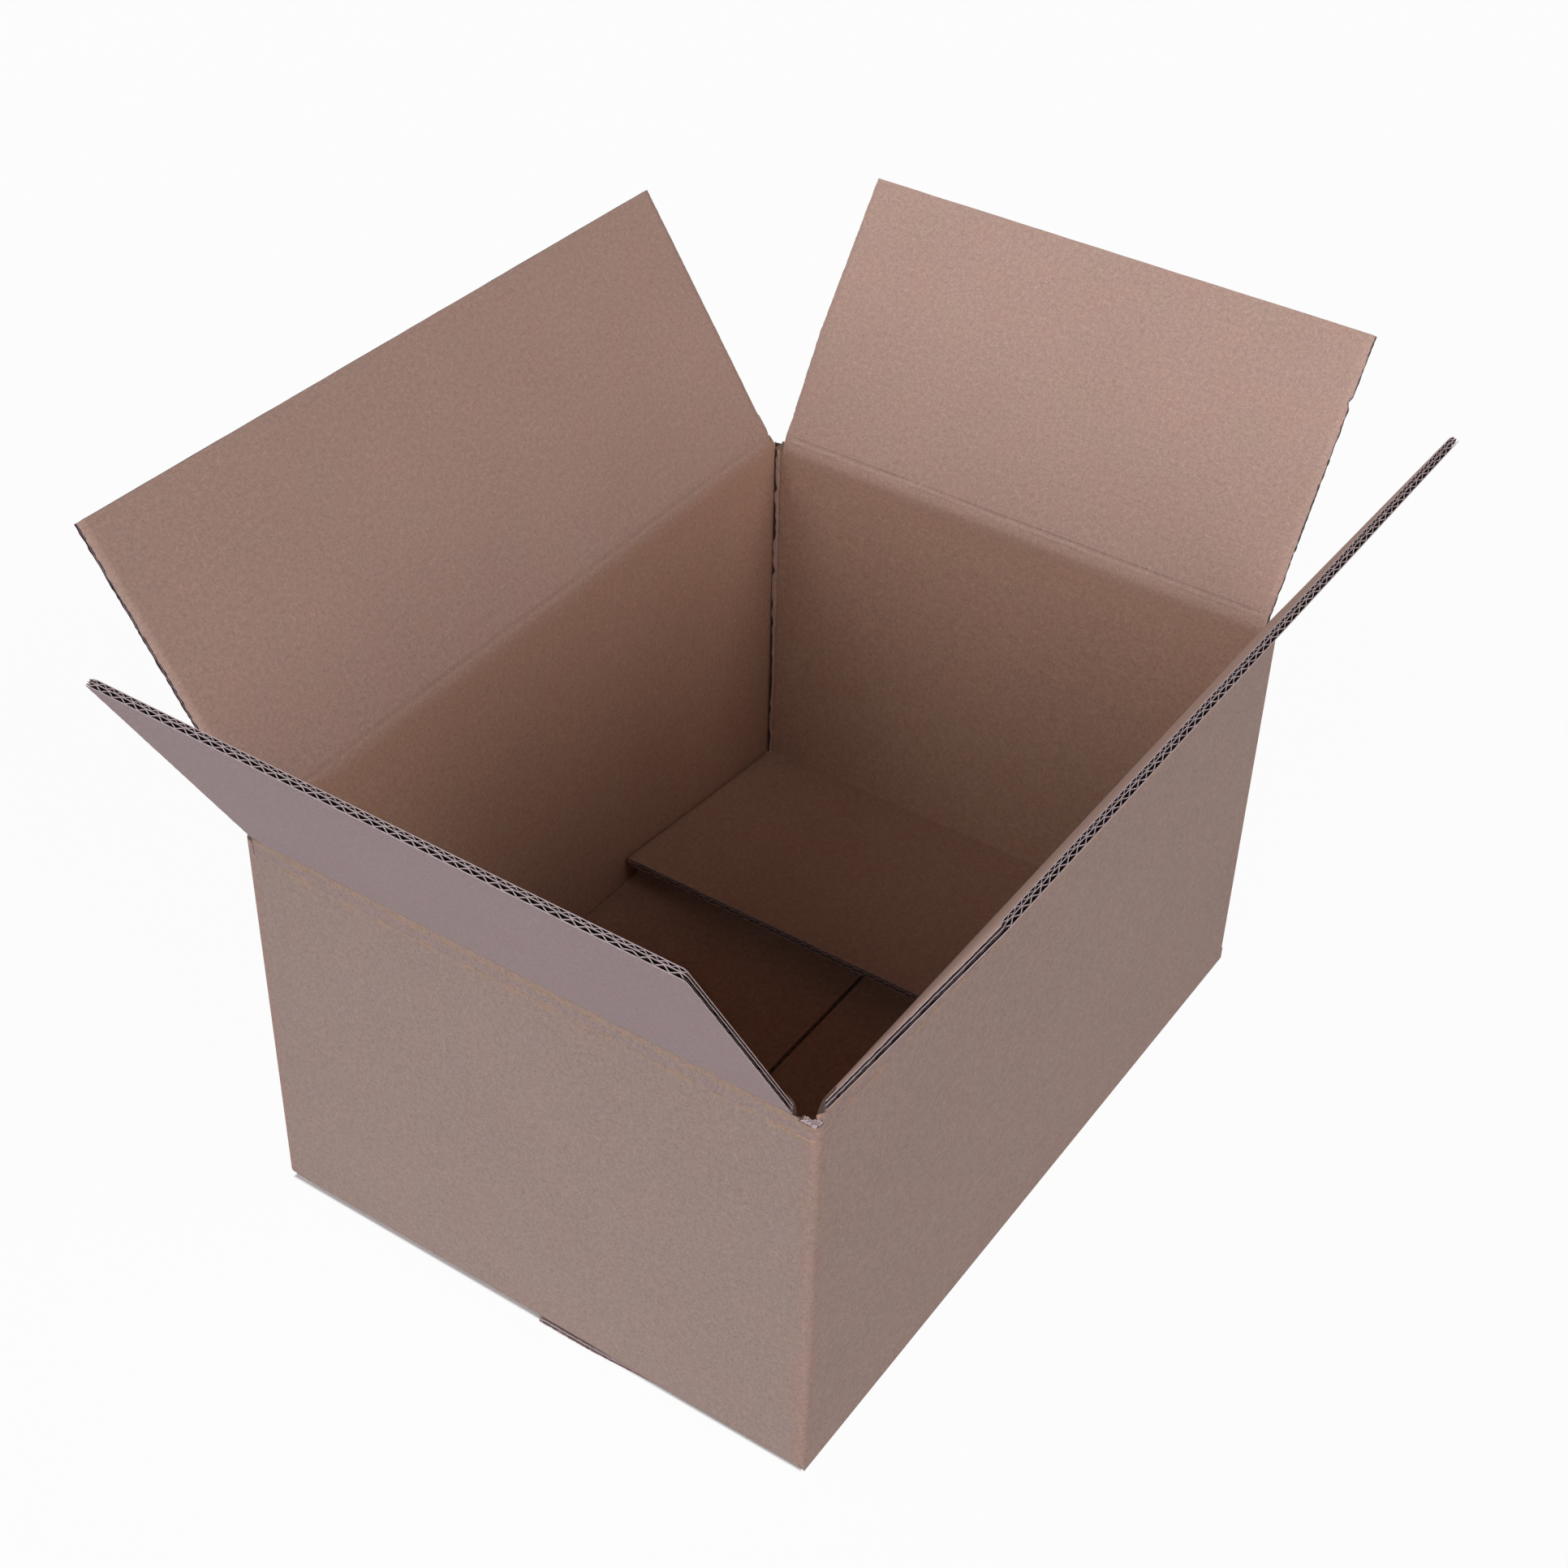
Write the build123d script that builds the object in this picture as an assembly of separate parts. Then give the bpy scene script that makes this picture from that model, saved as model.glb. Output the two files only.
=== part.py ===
from build123d import *
import os

# An open shipping carton, folded and glued from one blank of double-wall corrugated board.
# Origin: middle of the footprint, on the plane the carton stands on. X runs along the long
# walls, Y along the short walls, Z up. The front is the long wall at -Y. Millimetres.

# Board: three liners with two flute layers between them, the larger flute next to the outside.
LINER = 0.3
LARGE_FLUTE = 2.4
SMALL_FLUTE = 1.5
LARGE_PITCH = 7.9
SMALL_PITCH = 5.62
BOARD = 3 * LINER + LARGE_FLUTE + SMALL_FLUTE

# Carton, outside, with the long flaps closed.
LENGTH = 492.0
WIDTH = 360.0
HEIGHT = 266.0
LAYER_GAP = 0.4
CORNER_OUTSIDE = 5.0
CORNER_INSIDE = 1.0

# Flaps, measured from their hinge line at the outer crease.
LONG_FLAP = 176.0
SHORT_FLAP = 177.0
BASE_FRONT_SHORT_OF_MIDDLE = 4.0
BASE_BACK_PAST_MIDDLE = 1.5
BASE_FLAP_FRONT = WIDTH / 2 - BASE_FRONT_SHORT_OF_MIDDLE
BASE_FLAP_BACK = WIDTH / 2 + BASE_BACK_PAST_MIDDLE
BASE_FLAP_SHORT = 173.0
BASE_SPRING_BACK = 5.6

# How far each open flap has turned away from closed.
FRONT_OPEN = 118.0
BACK_OPEN = 125.0
LEFT_OPEN = 120.0
RIGHT_OPEN = 125.0

# Slots between the flaps: how far each flap end stands back from the corner of the carton.
SLOT_LONG = 6.0
SLOT_SHORT = 6.5
SLOT_FRONT_LEFT = 11.0
SLOT_BASE_FRONT = 2.5
SLOT_BASE_BACK = 9.5
SLOT_PAST_CREASE = 2.3

# Creases: a hinge line just off the outer face, both edges mitred on the inside, and a pressed
# band on the wall below.
HINGE_OFF = 0.15
MITRE_GAP = 0.45
SCORE_EDGE = 1.0
SCORE_BAND = 10.5
SCORE_DEPTH = 0.3

# Squeezed side edges of the flaps, left by the slotting knives.
PINCH_RUN = 3.0
PINCH_DEPTH = 0.9

# Flute openings that show in the cut free edges.
CELL_DEPTH = 6.0
CELL_END = 2.5
CELL_WALL = 0.7
CELL_TIP = 0.25

# Glued joint at the back right corner: a crushed tab lapped over the back wall outside.
TAB_REACH = 36.0
TAB_THICK = 3.0
TAB_END = 15.0
TAB_TAPER = 11.0
TAB_CORNER = 4.5
JOINT_SLIT = 0.8

# How far joined solids run into each other, and cuts run past a face.
OVERLAP = 1.0

SHORT_CREASE = HEIGHT - BOARD - LAYER_GAP
BASE_CREASE = BOARD + LAYER_GAP
SLOT_TOP = SHORT_CREASE - SLOT_PAST_CREASE
SLOT_BASE = BASE_CREASE + SLOT_PAST_CREASE

UP = Vector(0, 0, 1)
FRONT = Vector(0, -1, 0)
BACK = Vector(0, 1, 0)
LEFT = Vector(-1, 0, 0)
RIGHT = Vector(1, 0, 0)


def cells(left, right, floor, rise, pitch, both):
    """Triangular flute openings in one layer, base down, and base up between them if both."""
    shapes = []
    half = pitch / 2 - CELL_WALL
    tip = rise - CELL_TIP
    count = int((right - left) / pitch)
    start = (left + right - count * pitch) / 2
    for i in range(count):
        middle = start + (i + 0.5) * pitch
        shapes.append([(middle - half, floor), (middle + half, floor), (middle, floor + tip)])
        if both and i < count - 1:
            middle += pitch / 2
            top = floor + rise
            shapes.append([(middle - half, top), (middle, top - tip), (middle + half, top)])
    return shapes


def panel(low, high, reach, squeezed):
    """Board lying flat: X along its hinge, Y from hinge to free edge, Z from outside in.
    The sides are pinched. A squeezed free edge shows only the larger flutes."""
    outline = [
        (low + PINCH_RUN, 0),
        (high - PINCH_RUN, 0),
        (high, PINCH_DEPTH),
        (high, BOARD - PINCH_DEPTH),
        (high - PINCH_RUN, BOARD),
        (low + PINCH_RUN, BOARD),
        (low, BOARD - PINCH_DEPTH),
        (low, PINCH_DEPTH),
    ]
    first = low + PINCH_RUN + CELL_END
    last = high - PINCH_RUN - CELL_END
    openings = cells(first, last, LINER, LARGE_FLUTE, LARGE_PITCH, not squeezed)
    if not squeezed:
        floor = 2 * LINER + LARGE_FLUTE
        openings += cells(first, last, floor, SMALL_FLUTE, SMALL_PITCH, False)
    section = Plane(origin=(0, 0, 0), x_dir=(1, 0, 0), z_dir=(0, -1, 0))
    plain = section * make_face(Polyline(*outline, close=True).edges())
    holes = [Wire.make_polygon([section.from_local_coords((x, z, 0)) for x, z in shape])
             for shape in openings]
    fluted = plain.face().make_holes(holes).moved(Location((0, reach - CELL_DEPTH, 0)))
    board = extrude(plain, amount=reach - CELL_DEPTH, dir=(0, 1, 0))
    return board + extrude(fluted, amount=CELL_DEPTH, dir=(0, 1, 0))


def flap(span, reach, slots, squeezed=False):
    """A flap lying flat as a panel, its root mitred so that it can swing over the wall."""
    board = Pos(0, 0, HINGE_OFF) * panel(slots[0] - span / 2, span / 2 - slots[1], reach, squeezed)
    inner = HINGE_OFF + BOARD
    root = HINGE_OFF + MITRE_GAP
    side = Plane(origin=(-span, 0, 0), x_dir=(0, 1, 0), z_dir=(1, 0, 0))
    waste = side * make_face(Polyline(
        (-OVERLAP, HINGE_OFF - OVERLAP), (root - OVERLAP, HINGE_OFF - OVERLAP),
        (root + BOARD + OVERLAP, inner + OVERLAP), (-OVERLAP, inner + OVERLAP),
        close=True).edges())
    return board - extrude(waste, amount=2 * span, dir=(1, 0, 0))


def hang(part, out, face, crease, opened, up=UP):
    """Hang a flat flap at the crease of the wall that faces out, turned open from closed."""
    origin = out * (face + HINGE_OFF) + UP * crease + up * HINGE_OFF
    swing = Axis((0, 0, 0), up.cross(out))
    along = (out * -1).rotate(swing, opened)
    inward = (up * -1).rotate(swing, opened)
    return Plane(origin=origin, x_dir=along.cross(inward), z_dir=inward) * part


def wall_bar(out, edges, run, slots):
    """A straight bar along a wall between its slots, from an outline outward and up."""
    along = out.cross(UP)
    plane = Plane(origin=along * (slots[0] - run / 2), x_dir=out, z_dir=along)
    return extrude(plane * make_face(edges), amount=run - sum(slots), dir=along)


def carton_body():
    """The four walls, the glued joint and the two short base flaps, one folded piece."""
    half_x = LENGTH / 2
    half_y = WIDTH / 2
    ring = RectangleRounded(LENGTH, WIDTH, CORNER_OUTSIDE)
    ring -= RectangleRounded(LENGTH - 2 * BOARD, WIDTH - 2 * BOARD, CORNER_INSIDE)
    body = Pos(0, 0, SLOT_BASE) * extrude(ring, amount=SLOT_TOP - SLOT_BASE)
    for out, slots in WALL_SLOTS:
        long_wall = out in (FRONT, BACK)
        face = half_y if long_wall else half_x
        run = LENGTH if long_wall else WIDTH
        crease = HEIGHT if long_wall else SHORT_CREASE
        inner = face - BOARD
        low = min(SLOT_TOP, crease - BOARD) - OVERLAP
        rim = Polyline((inner, low), (face, low), (face, crease), (inner, crease - BOARD),
                       close=True)
        body += wall_bar(out, rim.edges(), run, slots)
        mitre = Polyline((face + OVERLAP, crease + OVERLAP),
                         (inner - OVERLAP, crease - BOARD - OVERLAP),
                         (inner - OVERLAP, crease + OVERLAP), close=True)
        body -= wall_bar(out, mitre.edges(), run, slots)
        top = crease - SCORE_EDGE
        band = Polyline((face - SCORE_DEPTH, top - SCORE_BAND), (face + OVERLAP, top - SCORE_BAND),
                        (face + OVERLAP, top), (face - SCORE_DEPTH, top), close=True)
        body -= wall_bar(out, band.edges(), run, slots)
    for out, slot in ((FRONT, SLOT_BASE_FRONT), (BACK, SLOT_BASE_BACK)):
        high = SLOT_BASE + OVERLAP
        foot = Polyline((half_y, high), (half_y, 0), (half_y - BOARD, BOARD),
                        (half_y - BOARD, high), close=True)
        body += wall_bar(out, foot.edges(), LENGTH, (slot, slot))
    body += short_base_flap(LEFT) + short_base_flap(RIGHT) + joint_tab()
    slit = Pos(half_x - BOARD - JOINT_SLIT / 2, half_y - (BOARD + OVERLAP) / 2, HEIGHT / 2)
    return body - slit * Box(JOINT_SLIT, BOARD + OVERLAP, HEIGHT)


def short_base_flap(out):
    """Short base flap with its bend, sprung up a little from the long flaps under it."""
    face = LENGTH / 2
    inner = face - BOARD
    fold = SLOT_PAST_CREASE
    heel = Vector(face - fold, BASE_CREASE)
    lift = Vector(-1, 0).rotate(Axis.Z, -BASE_SPRING_BACK)
    thick = Vector(0, 1).rotate(Axis.Z, -BASE_SPRING_BACK)
    knee = heel + lift * 2 * BOARD
    brow = knee + thick * BOARD
    rise = brow.Y + (brow.X - inner) * lift.Y / abs(lift.X)
    arc = RadiusArc((face, SLOT_BASE), (heel.X, heel.Y), fold)
    rest = Polyline((heel.X, heel.Y), (knee.X, knee.Y), (brow.X, brow.Y), (inner, rise),
                    (face, rise), (face, SLOT_BASE))
    bend = wall_bar(out, [arc.edge()] + list(rest.edges()), WIDTH, (SLOT_SHORT, SLOT_SHORT))
    half_span = WIDTH / 2 - SLOT_SHORT
    forward = out * lift.X + UP * lift.Y
    inward = out * thick.X + UP * thick.Y
    place = Plane(origin=out * heel.X + UP * heel.Y, x_dir=forward.cross(inward), z_dir=inward)
    return bend + place * panel(-half_span, half_span, BASE_FLAP_SHORT - fold, True)


def joint_tab():
    """Tab of the right wall, folded round the back corner and glued to the back wall."""
    half_x = LENGTH / 2
    outside = WIDTH / 2 + TAB_THICK
    low = TAB_END
    high = HEIGHT - TAB_END
    plane = Plane(origin=(0, outside, 0), x_dir=(1, 0, 0), z_dir=(0, -1, 0))
    outline = Polyline((half_x, low), (half_x, high), (half_x - TAB_REACH, high - TAB_TAPER),
                       (half_x - TAB_REACH, low + TAB_TAPER), close=True)
    tab = extrude(plane * make_face(outline.edges()), amount=TAB_THICK, dir=(0, -1, 0))
    depth = CORNER_OUTSIDE + TAB_THICK
    post = Pos(half_x - CORNER_OUTSIDE / 2, outside - depth / 2, (low + high) / 2)
    tab += post * Box(CORNER_OUTSIDE, depth, high - low)
    corner = tab.edges().filter_by(Axis.Z).sort_by(Axis.X)[-2:].sort_by(Axis.Y)[-1]
    return fillet(corner, TAB_CORNER)


# Top slots of each wall, counted along outward cross up.
LONG_SLOTS = (SLOT_LONG, SLOT_LONG)
LEFT_SLOTS = (SLOT_FRONT_LEFT, SLOT_SHORT)
RIGHT_SLOTS = (SLOT_SHORT, SLOT_SHORT)
WALL_SLOTS = ((FRONT, LONG_SLOTS), (BACK, LONG_SLOTS), (LEFT, LEFT_SLOTS), (RIGHT, RIGHT_SLOTS))

long_top = flap(LENGTH, LONG_FLAP, LONG_SLOTS)
left_top = flap(WIDTH, SHORT_FLAP, LEFT_SLOTS)
right_top = flap(WIDTH, SHORT_FLAP, RIGHT_SLOTS)
front_base = flap(LENGTH, BASE_FLAP_FRONT, (SLOT_BASE_FRONT, SLOT_BASE_FRONT), squeezed=True)
back_base = flap(LENGTH, BASE_FLAP_BACK, (SLOT_BASE_BACK, SLOT_BASE_BACK), squeezed=True)
nodes = {
    "carton_body": carton_body(),
    "top_flap_front": hang(long_top, FRONT, WIDTH / 2, HEIGHT, FRONT_OPEN),
    "top_flap_back": hang(long_top, BACK, WIDTH / 2, HEIGHT, BACK_OPEN),
    "top_flap_left": hang(left_top, LEFT, LENGTH / 2, SHORT_CREASE, LEFT_OPEN),
    "top_flap_right": hang(right_top, RIGHT, LENGTH / 2, SHORT_CREASE, RIGHT_OPEN),
    "base_flap_front": hang(front_base, FRONT, WIDTH / 2, 0, 0, up=UP * -1),
    "base_flap_back": hang(back_base, BACK, WIDTH / 2, 0, 0, up=UP * -1),
}

os.makedirs("parts", exist_ok=True)
for name, solid in nodes.items():
    export_step(solid, f"parts/{name}.step")
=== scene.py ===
"""An open shipping carton of double-wall corrugated board, on a white floor.

The walls and the base are the frame's own solids, in kraft paper. The four top flaps are made
here layer by layer: three liners with two rows of flutes between them, cut open at every edge.
"""
import math

import bpy
import numpy as np
from bpy.props import FloatProperty, FloatVectorProperty, PointerProperty
from mathutils import Matrix, Vector


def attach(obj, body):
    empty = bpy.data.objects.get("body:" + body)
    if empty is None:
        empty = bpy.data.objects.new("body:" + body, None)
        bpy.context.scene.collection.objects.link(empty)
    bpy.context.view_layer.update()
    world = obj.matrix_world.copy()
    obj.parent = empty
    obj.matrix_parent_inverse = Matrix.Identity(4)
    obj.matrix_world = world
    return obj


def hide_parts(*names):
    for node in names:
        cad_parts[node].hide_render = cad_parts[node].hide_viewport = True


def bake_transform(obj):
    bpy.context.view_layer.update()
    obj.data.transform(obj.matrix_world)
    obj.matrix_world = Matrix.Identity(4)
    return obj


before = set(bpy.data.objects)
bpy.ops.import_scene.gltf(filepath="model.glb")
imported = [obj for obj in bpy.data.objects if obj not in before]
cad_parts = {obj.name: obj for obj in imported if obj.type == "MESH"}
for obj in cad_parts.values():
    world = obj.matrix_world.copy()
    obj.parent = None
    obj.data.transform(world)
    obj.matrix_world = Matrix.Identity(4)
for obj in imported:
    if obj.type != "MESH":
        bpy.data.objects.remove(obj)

bl_info = {
    "name": "Corrugated carton",
    "version": (1, 0, 0),
    "blender": (4, 5, 0),
    "location": "View3D > Sidebar > Carton",
    "description": "Builds an open double-wall carton with fluted flap edges",
    "category": "Add Mesh",
}

MM = 0.001
UP = np.array([0.0, 0.0, 1.0])
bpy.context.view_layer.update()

FLUTE_PITCH = 0.0079   # of the faint lines that the large flutes press into the liners, metres
HALF_INSIDE = (0.2435, 0.1776)  # the walls wear the inner colour nearer than this, metres
FOOT = (0.244, 0.178)           # the carton stands on this half size of floor, metres

# Millimetres and degrees from here on, as in the solids.
HINGE_OFF = 0.15       # the hinge line stands this far off the outer faces
BEND_RADIUS = 20.0     # of the inner paper where it turns from wall to flap
MITRE = 0.45           # each layer of a flap starts this far beyond its own height
TRIM_KNEE = 73.0       # the middle one of a side's three trims applies this far out
TRIM_RUN = 120.0       # a trimmed side edge shifts the paper this far in
CHIP_AT = 136.0        # a chipped side edge is deepest this far out
SLOT_PINCH = 4.5       # the layers draw together this close to a slotted side
FLUTE_END = 2.4        # the flute sheets stop this far short of a slotted side
ROLL = (-26.0, 17.0)   # a crease roll reaches from here on the wall to here on the flap
FAR_FROM_FOLD = 100.0  # distance to a crease, for paper that has none near by
PAINTED_CREASE_SHADE = 0.24     # painted shade in the pressed crease lines: they are at most this share darker
SHARP_EDGE = 38.0
JOINT_WALL = 240.7     # inner face of the right wall, at the glued corner
JOINT_EDGE = 171.3     # the torn liner starts here on that wall
BASE_SIDE = -245.85    # left end of the front base flap
BASE_TILT = 5.6        # the short base flaps spring up by this
BASE_HALF = 170.4      # half the length of their free edges

# Each side of the carton: its outward direction, the outer face and crease height of its wall,
# how far its flap has opened, the length of the wall, the slots at both ends of the flap, the
# flap's reach, how its paper was cut and pressed, and its painted light: each flap's tone is
# painted light that makes the flap lighter or darker for how the light falls on it.
SIDES = {
    "front": dict(
        out=(0, -1, 0), face=180.0, crease=266.0, opened=118.0, run=492.0,
        slots=(6.0, 6.0), reach=176.0, seed=11, tone_and_painted_light=1.0, shift=0.0, groove=0.6, chip=0.0,
        trims=((0, 0, 0), (0, 0, 0)), short=(0, 0), pressed=(0.3, 0.3)),
    "back": dict(
        out=(0, 1, 0), face=180.0, crease=266.0, opened=125.0, run=492.0,
        slots=(6.0, 6.0), reach=176.0, seed=23, tone_and_painted_light=0.92, shift=1.0, groove=0.5, chip=0.0,
        trims=((0, 0, 0.6), (4.6, 2.5, 0)), short=(0.2, 3.0), pressed=(0.4, 0.3)),
    "left": dict(
        out=(-1, 0, 0), face=246.0, crease=260.8, opened=120.0, run=360.0,
        slots=(11.0, 6.5), reach=177.0, seed=37, tone_and_painted_light=1.0, shift=2.0, groove=0.8, chip=0.0,
        trims=((3.2, 1.5, 0), (0, 0, 0)), short=(0, 0.8), pressed=(0.3, 0.3)),
    "right": dict(
        out=(1, 0, 0), face=246.0, crease=260.8, opened=125.0, run=360.0,
        slots=(6.5, 6.5), reach=177.0, seed=41, tone_and_painted_light=1.08, shift=5.4, groove=1.0, chip=1.6,
        trims=((3.3, 0.2, 2.1), (0.8, 1.8, 2.6)), short=(0, 0), pressed=(0.3, 0.4)),
}

# Material numbers of a paper mesh.
OUTER, INNER, FLUTE, CUT = range(4)


def colour_from_screen(red, green, blue):
    """Linear colour of a screen colour, each channel 0 to 255."""
    value = np.array([red, green, blue]) / 255
    return tuple(np.where(value <= 0.04045, value / 12.92, ((value + 0.055) / 1.055) ** 2.4))


class CartonBoard(bpy.types.PropertyGroup):
    """Sizes and colours of the board."""
    liner: FloatProperty(
        name="Liner", description="Thickness of a flat paper layer, in millimetres",
        default=0.46, min=0.1, max=1.0)
    large_flute: FloatProperty(
        name="Large flute", description="Height of the outer row of flutes, in millimetres",
        default=2.08, min=0.5, max=6.0)
    small_flute: FloatProperty(
        name="Small flute", description="Height of the inner row of flutes, in millimetres",
        default=1.34, min=0.5, max=6.0)
    large_pitch: FloatProperty(
        name="Large pitch", description="From one large flute to the next, in millimetres",
        default=7.9, min=3.0, max=12.0)
    small_pitch: FloatProperty(
        name="Small pitch", description="From one small flute to the next, in millimetres",
        default=5.62, min=2.0, max=12.0)
    outer_colour: FloatVectorProperty(
        name="Outer paper", description="Colour of the outside liner",
        subtype="COLOR", default=colour_from_screen(153, 134, 127), min=0, max=1)
    # Painted light: the flaps' outer paper is a bluer copy of the walls' outer paper above, for
    # cool light from below on their undersides.
    cool_lit_flap_outer_colour: FloatVectorProperty(
        name="Outer flap paper", description="Colour of the outside liner on the flaps",
        subtype="COLOR", default=colour_from_screen(155, 138, 139), min=0, max=1)
    # Painted light: the flaps' inner paper is a lighter, cooler copy of the walls' inner paper
    # below, for the light on the raised flaps.
    lit_flap_inner_colour: FloatVectorProperty(
        name="Inner flap paper", description="Colour of the inside liner on the flaps",
        subtype="COLOR", default=colour_from_screen(181, 153, 142), min=0, max=1)
    inside_colour: FloatVectorProperty(
        name="Inner paper", description="Colour of the inside liner on the walls",
        subtype="COLOR", default=colour_from_screen(182, 148, 129), min=0, max=1)
    flute_colour: FloatVectorProperty(
        name="Flute paper", description="Colour of the flutes",
        subtype="COLOR", default=colour_from_screen(84, 68, 62), min=0, max=1)
    cut_colour: FloatVectorProperty(
        name="Cut paper", description="Colour of fuzzy cut and torn edges",
        subtype="COLOR", default=colour_from_screen(192, 176, 180), min=0, max=1)


class CartonLight(bpy.types.PropertyGroup):
    """Strengths of the lamps."""
    key: FloatProperty(
        name="Key", description="Lamp before the left wall, strength",
        default=1.42, min=0, max=20)
    fill: FloatProperty(
        name="Fill", description="Lamp before the front wall, strength",
        default=1.43, min=0, max=20)
    sky: FloatProperty(
        name="Sky", description="Even light from all round, strength",
        default=0.0, min=0, max=5)


# ---------------------------------------------------------------- meshes

def jagged(x, step, seed):
    """Seeded random heights between -1 and 1, one every step, joined by straight lines."""
    x = np.asarray(x, float)
    first = int(np.floor(x.min() / step)) - 1
    count = int(np.ceil(x.max() / step)) - first + 2
    heights = np.random.default_rng(seed).uniform(-1, 1, count)
    return np.interp(x / step - first, np.arange(count), heights)


def soft_noise(x, step, seed):
    """Seeded random heights between -1 and 1, one every step, joined by smooth curves."""
    x = np.asarray(x, float)
    cell = np.floor(x / step)
    share = x / step - cell
    share = share * share * (3 - 2 * share)
    first = int(cell.min())
    heights = np.random.default_rng(seed).uniform(-1, 1, int(cell.max()) - first + 3)
    index = (cell - first).astype(int)
    return heights[index] * (1 - share) + heights[index + 1] * share


class Paper:
    """Collects closed paper shells and makes one mesh of them.

    Every vertex carries its place on the flat board in metres and its signed distance from
    the nearest crease in millimetres, for the materials.
    """

    def __init__(self):
        self.points = []
        self.flat = []
        self.fold = []
        self.painted_crease_shading = []
        self.faces = []
        self.finish = []
        self.count = 0

    def shell(self, over, under, flat, fold, finishes, painted_crease_shading=0.0):
        """Close two grids of the same shape, face up and face down, with a rim between them.

        over and under are rows x columns x 3; the face of over looks along columns x rows.
        finishes are the material numbers of over, under and rim; the crease shading argument is
        painted shade where above 0 and painted highlight where below.
        """
        rows, columns = over.shape[:2]
        index = np.arange(rows * columns).reshape(rows, columns) + self.count
        back = index + rows * columns
        top = quads(index)
        low = quads(back)[:, ::-1]
        loop = np.concatenate([index[0, :-1], index[:-1, -1], index[-1, :0:-1], index[:0:-1, 0]])
        after = np.roll(loop, -1)
        shift = rows * columns
        rim = np.stack([loop, loop + shift, after + shift, after], 1)
        self.points += [over.reshape(-1, 3), under.reshape(-1, 3)]
        self.flat += [flat.reshape(-1, 2)] * 2
        self.fold += [np.broadcast_to(fold, (rows, columns)).reshape(-1)] * 2
        self.painted_crease_shading += [np.broadcast_to(painted_crease_shading, (rows, columns)).reshape(-1)] * 2
        for group, finish in zip((top, low, rim), finishes):
            self.faces.append(group)
            self.finish.append(np.full(len(group), finish))
        self.count += 2 * shift

    def mesh(self, name, materials, tone_and_painted_light=1.0):
        """One object of all shells, at the origin, with its material slots filled.

        The paper is painted lighter or darker by tone from the wall to the flap, painted light for
        how the light falls on each flap; the crease lines carry painted shade and a painted
        highlight.
        """
        points = np.concatenate(self.points) * MM
        faces = np.concatenate(self.faces)
        mesh = bpy.data.meshes.new(name)
        mesh.vertices.add(len(points))
        mesh.vertices.foreach_set("co", points.astype(np.float32).ravel())
        mesh.loops.add(faces.size)
        mesh.loops.foreach_set("vertex_index", faces.astype(np.int32).ravel())
        mesh.polygons.add(len(faces))
        mesh.polygons.foreach_set("loop_start", np.arange(0, faces.size, 4, dtype=np.int32))
        mesh.polygons.foreach_set("material_index", np.concatenate(self.finish).astype(np.int32))
        flat = np.concatenate(self.flat) * MM
        mesh.uv_layers.new(name="board").uv.foreach_set(
            "vector", flat[faces.ravel()].astype(np.float32).ravel())
        fold = np.concatenate(self.fold)
        mesh.attributes.new("fold", "FLOAT", "POINT").data.foreach_set(
            "value", fold.astype(np.float32))
        # Painted light: each flap's paper grows lighter or darker by its tone for how the light
        # falls on it, and the crease lines take painted shade and highlight.
        shade = 1 + (tone_and_painted_light - 1) * smooth_step((fold + 10) / 15)
        shade = shade * (1 - PAINTED_CREASE_SHADE * np.concatenate(self.painted_crease_shading))
        mesh.attributes.new("tone_and_painted_light", "FLOAT", "POINT").data.foreach_set(
            "value", shade.astype(np.float32))
        for material in materials:
            mesh.materials.append(material)
        mesh.update(calc_edges=True)
        mesh.shade_smooth()
        mesh.set_sharp_from_angle(angle=math.radians(SHARP_EDGE))
        if mesh.validate():
            raise RuntimeError(f"{name} has faces that Blender had to drop")
        piece = bpy.data.objects.new(name, mesh)
        bpy.context.scene.collection.objects.link(piece)
        return piece


def quads(index):
    """Four-sided faces of a grid of vertex numbers."""
    return np.stack([index[:-1, :-1], index[:-1, 1:], index[1:, 1:], index[1:, :-1]],
                    -1).reshape(-1, 4)


def crease_frame(side):
    """Hinge line origin, direction along it, and the upward and inward directions there."""
    out = np.array(side["out"], float)
    lift = math.radians(180 - side["opened"])
    along = np.cross(out, UP)
    reach = math.cos(lift) * out + math.sin(lift) * UP
    inward = -math.sin(lift) * out + math.cos(lift) * UP
    origin = out * (side["face"] + HINGE_OFF) + UP * (side["crease"] + HINGE_OFF)
    return origin, along, reach, inward


def edge_spread(low, high, step, edge):
    """Stations from low to high, close together within edge of both ends."""
    near = np.linspace(0, edge, 7)
    count = max(int((high - low - 2 * edge) / step), 2)
    middle = np.linspace(low + edge, high - edge, count + 1)
    return np.unique(np.concatenate([low + near, middle, high - near]))


def board_layers(board):
    """Bottom and top of each layer above the outer face, from outside in."""
    heights = np.cumsum([0, board.liner, board.large_flute, board.liner, board.small_flute,
                         board.liner])
    return list(zip(heights[:-1], heights[1:]))


def flute_wave(s, pitch):
    """A triangle wave of s with softened tips, between -1 and 1."""
    return np.arcsin(0.95 * np.sin(2 * math.pi * s / pitch)) / math.asin(0.95)


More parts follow.
